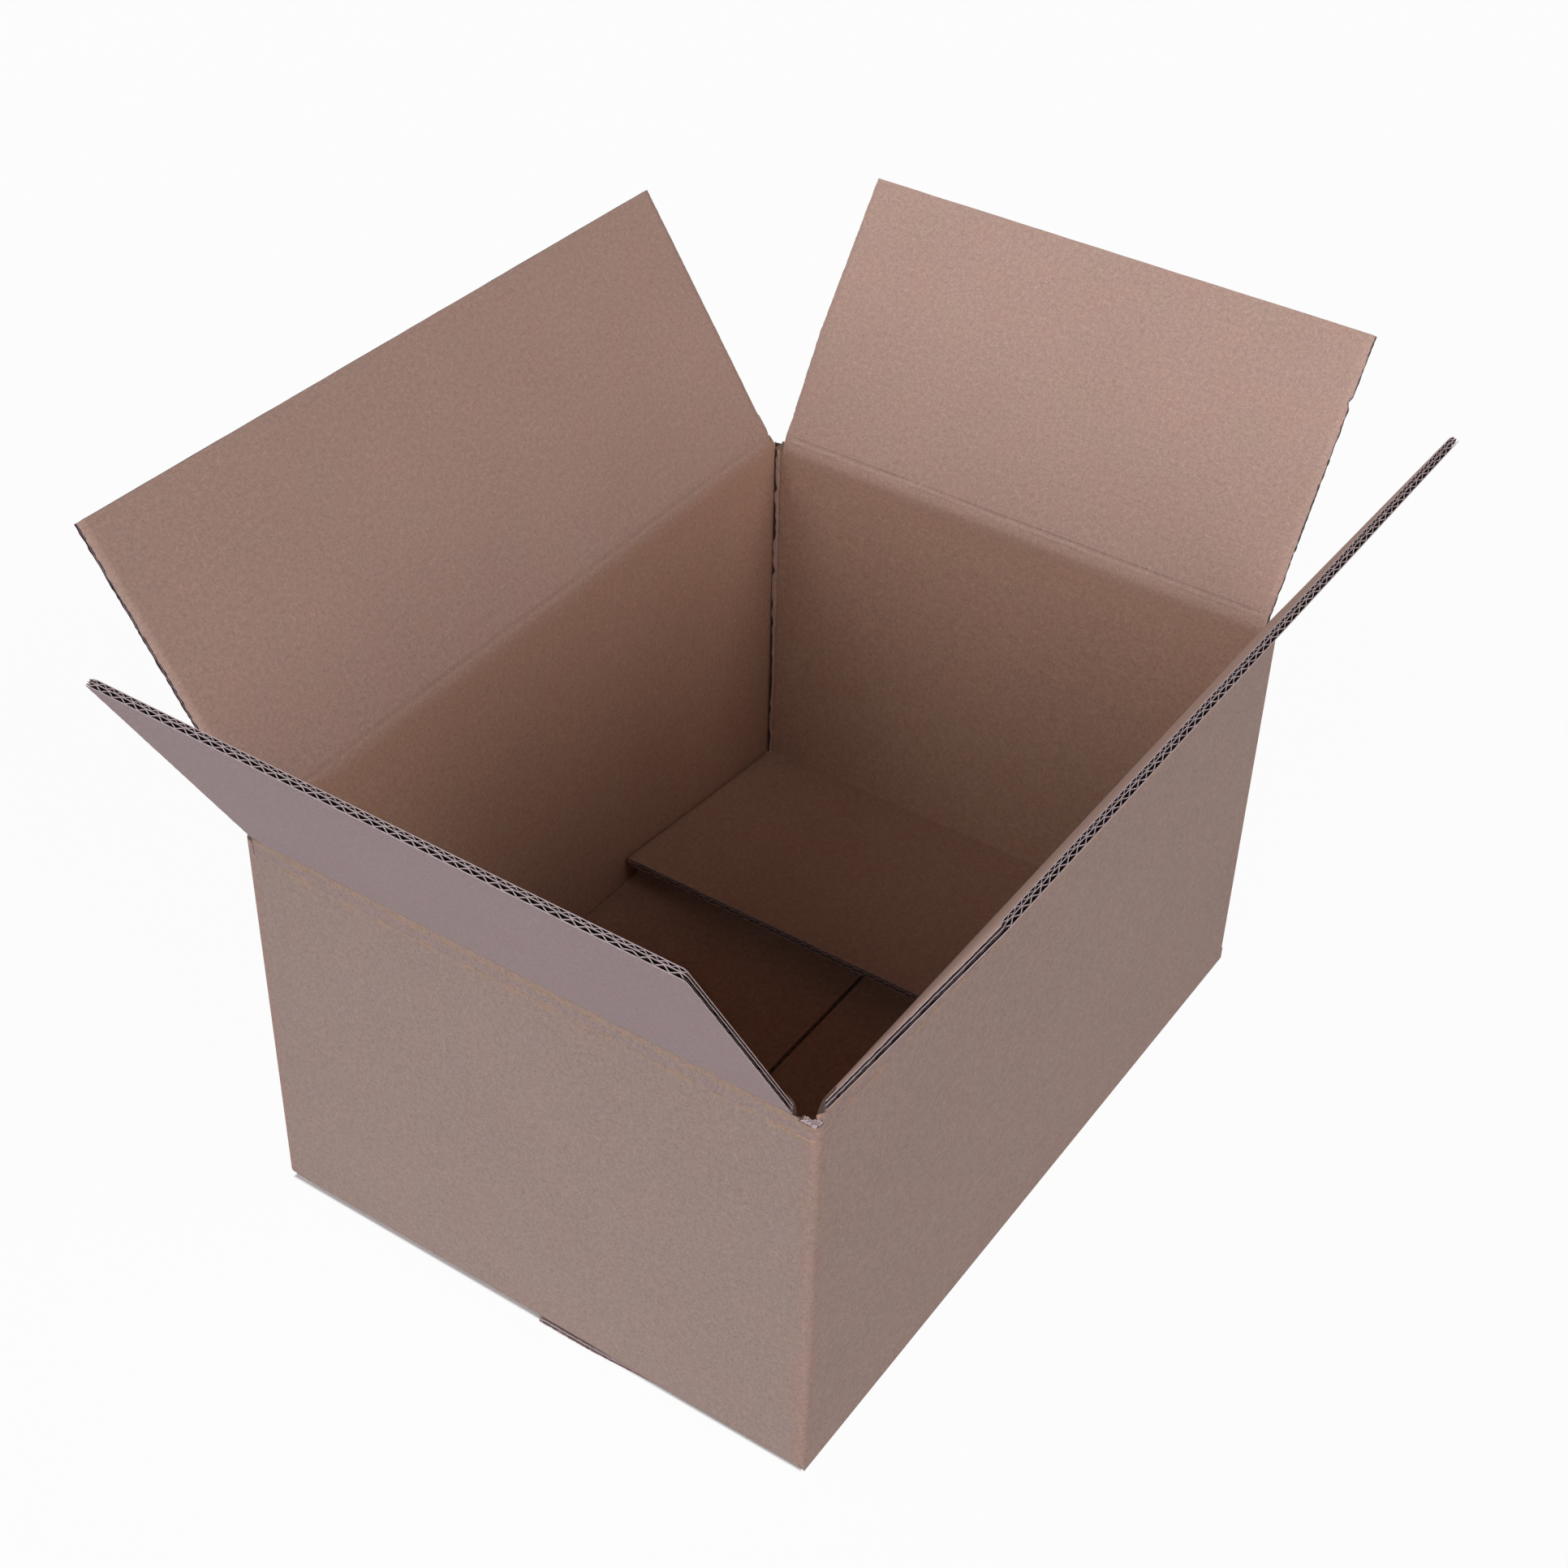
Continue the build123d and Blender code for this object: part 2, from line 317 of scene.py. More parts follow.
def flap_paper(side, board):
    """The five layers of one top flap.

    A liner is a flat sheet. A flute layer is a sheet whose height is a softened triangle wave
    of the place along the hinge. Within 3 mm of a slotted side all heights draw together to
    the middle, as the knife left them, every layer ends at its own ragged line, and narrow
    strips of crumpled flute paper stand between the liners.
    """
    origin, along, reach_way, inward = crease_frame(side)
    paper = Paper()
    low = side["slots"][0] - side["run"] / 2
    high = side["run"] / 2 - side["slots"][1]
    reach = side["reach"]
    seed = side["seed"]
    stations = np.linspace(low, high, 400)

    def place(s, r, n):
        """Point at s along the hinge, r out from it and n above the outer face."""
        begin, end = (np.clip(1 - edge / SLOT_PINCH, 0, 1) ** 1.5
                      for edge in (s - low, high - s))
        height = n * (1 - side["pressed"][0] * begin) * (1 - side["pressed"][1] * end)
        knots = (0, TRIM_KNEE, reach)
        near_low, near_high = (np.clip(1 - edge / TRIM_RUN, 0, 1)
                               for edge in (s - low, high - s))
        chip = side["chip"] * np.exp(-((r - CHIP_AT) / 2.2) ** 2)
        shift = (np.interp(r, knots, side["trims"][0]) * near_low
                 - np.interp(r, knots, side["trims"][1]) * near_high
                 - chip * np.clip(1 - (high - s) / 6, 0, 1))
        return (origin + (s + shift)[..., None] * along + r[..., None] * reach_way
                + (HINGE_OFF + height)[..., None] * inward)

    def add(s, r, over, under, finishes):
        """Add a sheet between the heights over and under."""
        flat = np.stack([s, r + side["crease"]], -1) + 1000 * seed
        paper.shell(place(s, r, over), place(s, r, under), flat, r, finishes)

    liners = {0: (FLUTE, OUTER, CUT), 2: (FLUTE, FLUTE, CUT), 4: (INNER, FLUTE, CUT)}
    rows = np.concatenate([np.linspace(0, 1, 100)[:-1], [0.9955, 1]])
    for number, (bottom, top) in enumerate(board_layers(board)):
        root = MITRE + top
        cut = (reach - 0.12 + 0.12 * jagged(stations, 2.0, seed + number)
               - np.interp(stations, (low, high), side["short"]))
        if number in liners:
            s, grid = np.meshgrid(edge_spread(low, high, 12.0, 6.0), rows)
            r = root + grid * (np.interp(s, stations, cut) - root)
            for side_way, edge, extra in ((1, s - low, 1), (-1, high - s, 2)):
                ragged = 0.35 + 0.35 * jagged(r, 1.9, seed + 5 * number + extra)
                s = s + side_way * np.clip(1 - edge / 3, 0, 1) * ragged
            add(s, r, np.full_like(r, top), np.full_like(r, bottom), liners[number])
            continue
        pitch, sheet = ((board.large_pitch, 0.50) if number == 1
                        else (board.small_pitch, 0.38))
        s = np.linspace(low + FLUTE_END, high - FLUTE_END, int((high - low) / pitch * 14))
        wave = flute_wave(s, pitch)
        swing = (top - bottom - sheet) / 2 + 0.03
        flat_spot = 1 - 0.6 * np.exp(-((s - (low + 30)) / 5) ** 2) * (number == 1)
        shape = swing * wave * flat_spot * (1 + 0.08 * soft_noise(s, 9, seed + 50 + number))
        grow = sheet / 2 * np.sqrt(1 + np.gradient(shape, s) ** 2)
        middle = (top + bottom) / 2
        cut_here = np.interp(s, stations, cut) - 0.2 + 0.15 * jagged(s, 1.1, seed + 70 + number)
        shares = np.array([0, 0.3, 0.6, 0.85, 0.97, 0.985, 1])
        r = root + shares[:, None] * (cut_here[None, :] - root)
        s = np.broadcast_to(s, r.shape)
        add(s, r, middle + shape + grow + 0 * r, middle + shape - grow + 0 * r,
            (FLUTE, FLUTE, CUT))
        for edge, way in ((low, 1), (high, -1)):
            across = np.linspace(0, 2.6, 5)[::way]
            reach_here = root + rows * (reach - 0.4 - side["short"][way < 0] - root)
            across, r = np.meshgrid(across, reach_here)
            ragged = 0.75 + 0.6 * jagged(r, 1.9, seed + 90 + number)
            s = edge + way * (ragged + across)
            room = (top - bottom) / 2 - 0.2
            height = middle + room * (0.75 * jagged(r, 2.7, seed + 80 + number)
                                      + 0.25 * jagged(r + 3 * across, 1.4, seed + 85 + number))
            add(s, r, height + 0.2, height - 0.2, (FLUTE, FLUTE, FLUTE))
    return paper


def roll_paper(side, board):
    """The crushed board in one top crease.

    Across the fold the inner face follows the wall, a wide arc and the flap. On it stand a
    soft roll on the wall side, a shallow groove and two pressed lines where the flap begins,
    and fine wrinkles. Its depth below fills the open wedge between the mitred wall and flap.
    """
    out = np.array(side["out"], float)
    origin, along, reach_way, _inward = crease_frame(side)
    radius = HINGE_OFF + board_layers(board)[-1][1]
    seed = side["seed"]
    bend = math.radians(side["opened"] - 90)
    half = BEND_RADIUS * bend / 2
    q = np.concatenate([np.linspace(ROLL[0], -12, 20)[:-1], np.linspace(-12, 10, 70),
                        np.linspace(10, ROLL[1], 10)[1:]])
    low = side["slots"][0] - side["run"] / 2 + 0.3 + side["trims"][0][0]
    high = side["run"] / 2 - side["slots"][1] - 0.3 - side["trims"][1][0]
    s, q = np.meshgrid(edge_spread(low, high, 2.5, 2.0), q)
    turn = np.clip((q + half) / BEND_RADIUS, 0, bend)
    face_way = (-np.cos(turn)[..., None] * out + np.sin(turn)[..., None] * UP)
    below = np.clip(-half - q, 0, None)
    beyond = np.clip(q - half, 0, None)
    halfway = -math.cos(bend / 2) * out + math.sin(bend / 2) * UP
    centre = origin + halfway * (radius - BEND_RADIUS) / math.cos(bend / 2)
    base = (centre + s[..., None] * along + BEND_RADIUS * face_way
            - below[..., None] * UP + beyond[..., None] * reach_way)
    wander = (q - side["shift"] + 0.6 * soft_noise(s, 60, seed)
              + 0.3 * soft_noise(s, 13, seed + 1))
    roll = 0.45 * smooth_step((wander - ROLL[0]) / 18) * smooth_step((0.5 - wander) / 5)
    first = np.exp(-((wander - 0.9) / 1.3) ** 2) * (0.8 + 0.2 * soft_noise(s, 22, seed + 5))
    second = np.exp(-((wander + 3.2) / 0.9) ** 2) * (0.6 + 0.4 * soft_noise(s, 30, seed + 6))
    groove = -0.42 * side["groove"] * np.exp(-((wander - 1.1) / 1.4) ** 2)
    line = -side["groove"] * (0.12 * first + 0.18 * second)
    crest = np.exp(-((wander + 1.3) / 1.1) ** 2) + 0.7 * np.exp(-((wander + 6.8) / 2.6) ** 2)
    # Painted shade along the two pressed lines, and a painted highlight on the crests beside them.
    painted_crease_shading = side["groove"] * (0.75 * first + 0.6 * second - 0.3 * crest)
    strength = 0.5 + 0.5 * soft_noise(s, 14, seed + 2)
    wrinkle = 0.035 * strength * np.sin(wander * 4.6 + 2 * soft_noise(s, 25, seed + 3))
    wrinkle = wrinkle * np.exp(-((wander + 1.8) / 2.2) ** 4)
    ends = smooth_step(np.minimum(q - ROLL[0], ROLL[1] - q) / 5)
    corner = smooth_step(np.minimum(s - low, high - s) / 9)
    height = (0.06 + (roll + groove + line + wrinkle) * corner) * ends - 0.12 * (1 - ends)
    over = base + height[..., None] * face_way
    to_hinge = ((base - origin - s[..., None] * along) * face_way).sum(-1)
    open_depth = radius + 0.35 - np.maximum(-((base - origin) @ UP), ((base - origin) @ reach_way))
    depth = np.minimum(np.clip(open_depth, 0.5, None), to_hinge - 0.2) + height
    under = over - depth[..., None] * face_way
    squeeze = 0.3 * np.clip(1 - np.minimum(s - low, high - s) / 3, 0, 1)[..., None] ** 1.5
    middle = (over + under) / 2
    paper = Paper()
    flat = np.stack([s, q + side["crease"]], -1) + 1000 * seed
    paper.shell(over + (middle - over) * squeeze, under + (middle - under) * squeeze, flat, q,
                (INNER, OUTER, FLUTE), painted_crease_shading * corner)
    return paper


def smooth_step(x):
    """0 below 0, 1 above 1, and a smooth rise between."""
    x = np.clip(x, 0, 1)
    return x * x * (3 - 2 * x)


def joint_paper():
    """The torn inner liner along the glued corner, and a dark sheet as painted shade for the slit.

    The liner is a narrow sheet from the right wall toward the back wall; its free edge is a
    jagged line and its middle stands proud in a bow.
    """
    paper = Paper()
    height, share = np.meshgrid(np.concatenate([np.arange(9, 257, 1.1), [258.2]]),
                                np.linspace(0, 1, 13), indexing="ij")
    flatter = smooth_step((160 - height) / 90)
    tear = 1.2 * soft_noise(height, 11, 301) + 1.5 * jagged(height, 4.3, 302)
    tear = tear * (1 - 0.6 * flatter)
    x = JOINT_WALL - 1.4 * share ** 1.5 - 0.35 * np.sin(math.pi * share)
    y = JOINT_EDGE + 0.3 * jagged(height, 6, 305) + (2.4 + 0.7 * tear - 0.8 * flatter) * share
    bow = (0.5 + 0.4 * soft_noise(height, 9, 303)) * np.sin(math.pi * share) ** 0.7
    over = np.stack([x - bow, y - 0.5 * bow, height], -1)
    under = over + np.array([0.3, 0.25, 0])
    flat = np.stack([y + 40 * 1000, height], -1)
    paper.shell(over[:, ::-1], under[:, ::-1], flat[:, ::-1], FAR_FROM_FOLD,
                (INNER, FLUTE, INNER))
    # Painted shade: a thin dark sheet of flute paper flush on the wall stands in for the shade in
    # the slit behind the torn liner.
    height, share = np.meshgrid(np.arange(8.5, 258, 3.1), np.linspace(0, 1, 3), indexing="ij")
    edge = JOINT_EDGE + 1 - 0.5 * smooth_step((120 - height) / 60) + 0.25 * jagged(height, 5, 304)
    y = edge + (175.2 - edge) * share
    over = np.stack([JOINT_WALL + 0.08 + 0 * y, y, height], -1)
    under = over + np.array([0.3, 0, 0])
    flat = np.stack([y, height], -1)
    paper.shell(over[:, ::-1], under[:, ::-1], flat[:, ::-1], FAR_FROM_FOLD,
                (FLUTE, FLUTE, FLUTE))
    return paper


def base_edge_paper():
    """The cut end of the front base flap, which hangs a little below the left wall.

    Three ragged strips lie one above the other under the wall's rounded lower fold; each is
    highest at the flap's free edge and runs out toward the crease.
    """
    paper = Paper()
    strips = ((0.12, 0.75, CUT), (0.75, 1.7, FLUTE), (1.7, 2.3, CUT))
    for number, (bottom, top, finish) in enumerate(strips):
        run, share = np.meshgrid(np.linspace(-98, -5.2, 90), np.linspace(0, 1, 3),
                                 indexing="ij")
        rise = smooth_step((run + 100) / 70)
        low = 0.05 + (bottom - 0.05) * rise
        high = 0.05 + (top - 0.05) * rise + 0.14 * jagged(run, 1.7, 501 + number) * rise
        out = BASE_SIDE + 0.16 * top ** 1.5 + 0.2 * jagged(run, 1.3, 511 + number) * rise
        over = np.stack([out + 3.0 * (1 - rise), run, low + (high - low) * share], -1)
        under = over + np.array([0.9, 0, 0])
        flat = np.stack([run, over[..., 2]], -1)
        paper.shell(over, under, flat, FAR_FROM_FOLD, (finish, FLUTE, finish))
    return paper


def base_free_edges(board):
    """The cut free edges of the two short base flaps.

    Liners and flutes 1 mm deep stand before a dark strip of flute paper, painted shade that
    stands in for the depth of the flute cells; the flutes are softened triangle waves of the
    place along the edge.
    """
    paper = Paper()
    tilt = math.radians(BASE_TILT)
    for way in (1.0, -1.0):
        out = np.array([way, 0, 0])
        lift = -math.cos(tilt) * out + math.sin(tilt) * UP
        thick = math.sin(tilt) * out + math.cos(tilt) * UP
        along = np.cross(lift, thick)
        origin = out * 243.7 + UP * 5.4 + lift * 170.7 + thick * 0.1

        def add(s, r, over, under, finishes):
            """Add a sheet between the heights over and under."""
            faces = [origin + s[..., None] * along + r[..., None] * lift + n[..., None] * thick
                     for n in (over, under)]
            flat = np.stack([s, r], -1) + 70000 * way
            paper.shell(faces[0], faces[1], flat, FAR_FROM_FOLD, finishes)

        for number, (bottom, top) in enumerate(board_layers(board)):
            pitch = {1: board.large_pitch, 3: board.small_pitch}.get(number, 6.0)
            s, share = np.meshgrid(
                np.linspace(-BASE_HALF, BASE_HALF, int(340 / pitch * 12)), np.linspace(0, 1, 3))
            r = 0.03 + share * (0.97 + 0.1 * jagged(s, 1.4, 601 + number))
            if number in (0, 2, 4):
                face = INNER if number == 4 else FLUTE
                add(s, r, top + 0 * s, bottom + 0 * s, (face, FLUTE, CUT))
                continue
            wave = flute_wave(s, pitch)
            shape = (top + bottom) / 2 + ((top - bottom) / 2 - 0.17) * wave
            add(s, r, shape + 0.2, shape - 0.2, (FLUTE, FLUTE, CUT))
        # Painted shade: a flat dark sheet of flute paper closes the cells behind the cut edge.
        s, r = np.meshgrid(np.linspace(-BASE_HALF, BASE_HALF, 9), [0.02, 0.12])
        add(s, r, 4.6 + 0 * s, 0.2 + 0 * s, (FLUTE, FLUTE, FLUTE))
    return paper


def torn_paper():
    """Torn scraps in the notches, most in the front left one, and a light one at the inner back
    corner, painted light that stands in for the light seen through the gap there.

    Each scrap is a small sheet whose height is the sum of two crossed random ripples, curled
    down at its rim.
    """
    paper = Paper()
    # centre, width, depth, seed and face of each
    scraps = [(-243.4, -171.6, 259.4, 3.6, 3.0, 401, CUT),
              (-241.6, -177.6, 259.6, 3.4, 3.0, 402, CUT),
              (-243.2, -176.4, 259.3, 4.6, 3.8, 403, CUT),
              (-243.6, -174.0, 259.2, 3.4, 3.6, 404, CUT),
              (-242.6, 176.2, 258.9, 4.4, 3.6, 405, FLUTE),
              (242.0, -176.4, 258.9, 4.4, 3.6, 406, FLUTE),
              (243.2, 176.6, 258.9, 3.8, 3.6, 407, FLUTE),
              # The last scrap is light cut paper at the inner back corner: painted light for the
              # light that shows through the gap there.
              (240.0, 172.6, 9.6, 3.4, 2.4, 408, CUT)]
    for x, y, z, wide, deep, seed, finish in scraps:
        u, v = np.meshgrid(np.linspace(-1, 1, 15), np.linspace(-1, 1, 15))
        rim = np.maximum(abs(u), abs(v)) ** 4
        ragged = 1 + 0.22 * jagged(2 * u + 3 * v, 0.5, seed) * rim
        lift = (0.9 * soft_noise(u * 2 + v, 0.8, seed + 20)
                + 0.7 * soft_noise(v * 2 - u, 0.7, seed + 40)
                + 0.5 * jagged(u - 2 * v, 0.45, seed + 60) - 1.3 * rim)
        over = np.stack([x + wide / 2 * u * ragged, y + deep / 2 * v * ragged, z + 0.6 * lift], -1)
        under = over - np.array([0, 0, 0.3])
        flat = np.stack([x + u * wide / 2, y + v * deep / 2], -1)
        paper.shell(over, under, flat, FAR_FROM_FOLD, (finish, FLUTE, CUT))
    return paper


# ---------------------------------------------------------------- materials

class Weave:
    """Short-hand for building a node material: each call adds a node and returns a socket."""

    def __init__(self, name):
        self.material = bpy.data.materials.new(name)
        self.material.use_nodes = True
        self.tree = self.material.node_tree
        self.shader = self.tree.nodes["Principled BSDF"]

    def node(self, kind, inputs=(), output=0, **settings):
        node = self.tree.nodes.new(kind)
        for key, value in settings.items():
            setattr(node, key, value)
        for key, value in dict(inputs).items():
            self.feed(node.inputs[key], value)
        return node.outputs[output]

    def feed(self, socket, value):
        """Link a socket, or set a plain value."""
        if isinstance(value, bpy.types.NodeSocket):
            self.tree.links.new(value, socket)
        else:
            socket.default_value = value

    def math(self, operation, *values):
        return self.node("ShaderNodeMath", enumerate(values), operation=operation)

    def noise(self, vector, scale, detail=2.0, roughness=0.5):
        return self.node("ShaderNodeTexNoise", {
            "Vector": vector, "Scale": scale, "Detail": detail, "Roughness": roughness})

    def ramp(self, value, low, high, to_low=0.0, to_high=1.0):
        """Smooth rise from to_low at low to to_high at high."""
        return self.node("ShaderNodeMapRange", {
            "Value": value, "From Min": low, "From Max": high,
            "To Min": to_low, "To Max": to_high}, interpolation_type="SMOOTHSTEP")

    def mix(self, share, first, second, blend="MIX"):
        node = self.tree.nodes.new("ShaderNodeMix")
        node.data_type = "RGBA"
        node.blend_type = blend
        self.feed(node.inputs["Factor"], share)
        self.feed(node.inputs[6], first)
        self.feed(node.inputs[7], second)
        return node.outputs[2]


def kraft(name, colour, on_board, inner=None, scuffed_with_painted_light=False, wall_side=None):
    """Kraft paper: clouds, mottling, fibres, dark and light specks and faint flute lines.

    on_board papers read their place on the flat board, and the painted light that the mesh
    carries;
    the walls read their place on the object, and wear the inner colour inside. scuffed papers show
    the rubbed crease outside, with painted light on the pressed band. wall_side is the colour that
    the paper takes on toward the wall; the flaps' paper is a lighter, cooler copy of it, painted
    light for the light on the raised flaps.
    """
    weave = Weave(name)
    shader = weave.shader
    if on_board:
        flat = weave.node("ShaderNodeUVMap", uv_map="board")
        part = [weave.node("ShaderNodeSeparateXYZ", {0: flat}, output=k) for k in range(3)]
        across = part[0]
    else:
        flat = weave.node("ShaderNodeTexCoord", output=3)
        part = [weave.node("ShaderNodeSeparateXYZ", {0: flat}, output=k) for k in range(3)]
        across = weave.math("ADD", part[0], part[1])
    clouds = weave.noise(flat, 14.0, 3.0, 0.55)
    mottle = weave.noise(flat, 330.0, 3.0, 0.6)
    grain = weave.noise(flat, 760.0, 3.0, 0.7)
    tone_and_painted_light = weave.math("MULTIPLY_ADD", clouds, 0.09, 0.325)
    tone_and_painted_light = weave.math("MULTIPLY_ADD", mottle, 0.46, tone_and_painted_light)
    tone_and_painted_light = weave.math("MULTIPLY_ADD", grain, 0.80, tone_and_painted_light)
    for scale, low, way in ((300.0, 0.90, 0.12), (270.0, 0.90, -0.09)):
        line = weave.math("ABSOLUTE", weave.math("MULTIPLY_ADD", weave.noise(
            flat, scale, 1.0), 2.0, -1.0))
        line = weave.ramp(weave.math("SUBTRACT", 1.0, line), low + 0.04, 0.995)
        broken = weave.ramp(weave.noise(flat, scale * 0.83, 0.0), 0.56, 0.64)
        tone_and_painted_light = weave.math("MULTIPLY_ADD", weave.math("MULTIPLY", line, broken), way, tone_and_painted_light)
    paint = tuple(colour) + (1.0,)
    # Painted light from the mesh: each flap's lighter or darker paper, and the shade and highlight
    # painted along the creases.
    if on_board:
        tone_and_painted_light = weave.math("MULTIPLY", tone_and_painted_light, weave.node(
            "ShaderNodeAttribute", attribute_name="tone_and_painted_light", output=2))
    # Painted light: the flap's lighter copy of the paper turns into the walls' copy across the
    # fold.
    if wall_side is not None:
        fold = weave.node("ShaderNodeAttribute", attribute_name="fold", output=2)
        paint = weave.mix(weave.ramp(fold, -14.0, 6.0), tuple(wall_side) + (1.0,), paint)
    if inner is not None:
        near_x, near_y = (
            weave.math("LESS_THAN", weave.math("ABSOLUTE", value), half)
            for value, half in zip(part, HALF_INSIDE))
        raised = weave.math("GREATER_THAN", part[2], 0.001)
        inside = weave.math("MULTIPLY", weave.math("MULTIPLY", near_x, near_y), raised)
        paint = weave.mix(inside, paint, tuple(inner) + (1.0,))
    else:
        inside = None
    drift = weave.ramp(weave.noise(flat, 38.0, 2.0), 0.40, 0.66, 0.0, 0.32)
    paint = weave.mix(drift, paint, weave.mix(1.0, paint, (1.07, 0.965, 0.97, 1.0), "MULTIPLY"))
    green = weave.ramp(weave.noise(flat, 27.0, 2.0), 0.52, 0.70, 0.0, 0.32)
    paint = weave.mix(green, paint, weave.mix(1.0, paint, (0.96, 1.015, 0.95, 1.0), "MULTIPLY"))
    if scuffed_with_painted_light:
        paint = scuffs_and_painted_band_light(weave, paint, flat, part, on_board, inside)
    base = weave.mix(1.0, paint, tone_and_painted_light, "MULTIPLY")
    specks = weave.node("ShaderNodeTexVoronoi", {"Vector": flat, "Scale": 230.0})
    dots = weave.node("ShaderNodeTexVoronoi", {"Vector": flat, "Scale": 230.0}, output=1)
    chosen = weave.ramp(weave.node("ShaderNodeSeparateColor", {0: dots}), 0.93, 0.94)
    dark = weave.math("MULTIPLY", weave.ramp(specks, 0.10, 0.04), chosen)
    base = weave.mix(weave.math("MULTIPLY", dark, 0.6), base, (0.055, 0.042, 0.038, 1.0))
    rare = weave.ramp(weave.node("ShaderNodeSeparateColor", {0: dots}, output=1), 0.965, 0.97)
    light = weave.math("MULTIPLY", weave.ramp(specks, 0.09, 0.04), rare)
    base = weave.mix(weave.math("MULTIPLY", light, 0.4), base, (0.62, 0.57, 0.55, 1.0))
    weave.feed(shader.inputs["Base Color"], base)
    shader.inputs["Roughness"].default_value = 0.88
    shader.inputs["Specular IOR Level"].default_value = 0.25
    ripple = weave.math("SINE", weave.math("MULTIPLY", across, 2 * math.pi / FLUTE_PITCH))
    height = weave.math("MULTIPLY_ADD", ripple, 0.05, weave.math("MULTIPLY", mottle, 0.5))
    height = weave.math("MULTIPLY_ADD", grain, 0.5, height)
    height = weave.math("MULTIPLY_ADD", clouds, 1.2, height)
    bump = weave.node("ShaderNodeBump", {
        "Height": height, "Strength": 0.5, "Distance": 0.0003})
    weave.feed(shader.inputs["Normal"], bump)
    return weave.material


def scuffs_and_painted_band_light(weave, paint, flat, part, on_board, inside):
    """Rubbed tan lines along the pressed band outside, and painted light on the band.

    One runs at the crease and a thinner one at the lower edge of the band. Between them the paper
    is painted greyer and bluer, painted cool light on the band, and a narrow painted highlight
    covers the shade of the band's lower step; the folded corners are warmer.
    """
    tan = weave.mix(1.0, paint, (1.09, 1.03, 0.91, 1.0), "MULTIPLY")
    # Painted cool light: the pressed band is painted greyer and bluer.
    painted_cool_band = weave.mix(1.0, paint, (0.975, 0.975, 1.03, 1.0), "MULTIPLY")
    blots = weave.noise(flat, 130.0, 4.0, 0.65)
    if on_board:
        fold = weave.node("ShaderNodeAttribute", attribute_name="fold", output=2)
        share = weave.math("MULTIPLY", weave.ramp(fold, 2.2, 0.6), weave.ramp(blots, 0.42, 0.56))
        return weave.mix(weave.math("MULTIPLY", share, 0.8), paint, tan)
    end_wall = weave.math("GREATER_THAN", weave.math("ABSOLUTE", part[0]), 0.2445)
    crease = weave.math("MULTIPLY_ADD", end_wall, -0.0052, 0.266)
    drop = weave.math("MULTIPLY", weave.math("SUBTRACT", crease, part[2]), 1000.0)
    outside = weave.math("SUBTRACT", 1.0, inside)
    band = weave.math("MULTIPLY", weave.ramp(drop, 2.5, 4.5), weave.ramp(drop, 12.0, 10.0))
    paint = weave.mix(weave.math("MULTIPLY", band, outside), paint, painted_cool_band)
    wander = weave.math("MULTIPLY_ADD", weave.noise(flat, 55.0, 5.0, 0.75), 9.0, -4.5)
    upper = weave.math("ADD", drop, wander)
    first = weave.math("MULTIPLY", weave.ramp(upper, 6.6, 4.2),
                       weave.ramp(weave.noise(flat, 170.0, 3.0, 0.6), 0.34, 0.54))
    off = weave.math("ABSOLUTE", weave.math("SUBTRACT", weave.math(
        "MULTIPLY_ADD", wander, 0.8, drop), 12.6))
    second = weave.math("MULTIPLY", weave.ramp(off, 3.2, 0.8),
                        weave.ramp(weave.noise(flat, 90.0, 3.0, 0.6), 0.42, 0.58))
    worn = weave.math("MULTIPLY", weave.math("MAXIMUM", first, second), outside)
    paint = weave.mix(worn, paint, tan)
    # Painted highlight: a narrow lighter line over the shade along the band's lower step.
    rim = weave.math("ABSOLUTE", weave.math("SUBTRACT", drop, 11.5))
    rim = weave.math("MULTIPLY", weave.ramp(rim, 0.7, 0.3), outside)
    paint = weave.mix(weave.math("MULTIPLY", rim, 0.6), paint, weave.mix(
        1.0, paint, (1.32, 1.30, 1.28, 1.0), "MULTIPLY"))
    reach = weave.math("ADD", weave.math("ABSOLUTE", part[0]), weave.math("ABSOLUTE", part[1]))
    corner = weave.math("MULTIPLY", weave.ramp(reach, 0.4165, 0.4205), outside)
    warm = weave.mix(1.0, paint, (1.06, 0.95, 0.90, 1.0), "MULTIPLY")
    return weave.mix(weave.math("MULTIPLY", corner, 0.55), paint, warm)


# ---------------------------------------------------------------- operators

def carton_papers(board):
    """The carton's papers, made once: outer liner, inner liner, flute paper and cut edges."""
    made = bpy.data.materials
    if "outer_liner" not in made:
        outer = np.array(board.outer_colour)
        inside = np.array(board.inside_colour)
        # Painted light: the flap papers are lighter or bluer copies of the walls' papers.
        kraft("outer_liner", np.array(board.cool_lit_flap_outer_colour), True, scuffed_with_painted_light=True)
        kraft("inner_liner", np.array(board.lit_flap_inner_colour), True, wall_side=inside)
        kraft("flute_paper", np.array(board.flute_colour), True)
        kraft("cut_paper", np.array(board.cut_colour), True)
        kraft("wall_paper", outer, False, inside, scuffed_with_painted_light=True)
    return [made[name] for name in ("outer_liner", "inner_liner", "flute_paper", "cut_paper")]


class CARTON_OT_walls(bpy.types.Operator):
    """Give the walls and the base their paper"""
    bl_idname = "carton.walls"
    bl_label = "Walls and base"

    def execute(self, context):
        carton_papers(context.scene.carton_board)
        paper = bpy.data.materials["wall_paper"]
        for name in ("carton_body", "base_flap_front", "base_flap_back"):
            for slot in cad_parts[name].material_slots:
                slot.material = paper
        return {"FINISHED"}


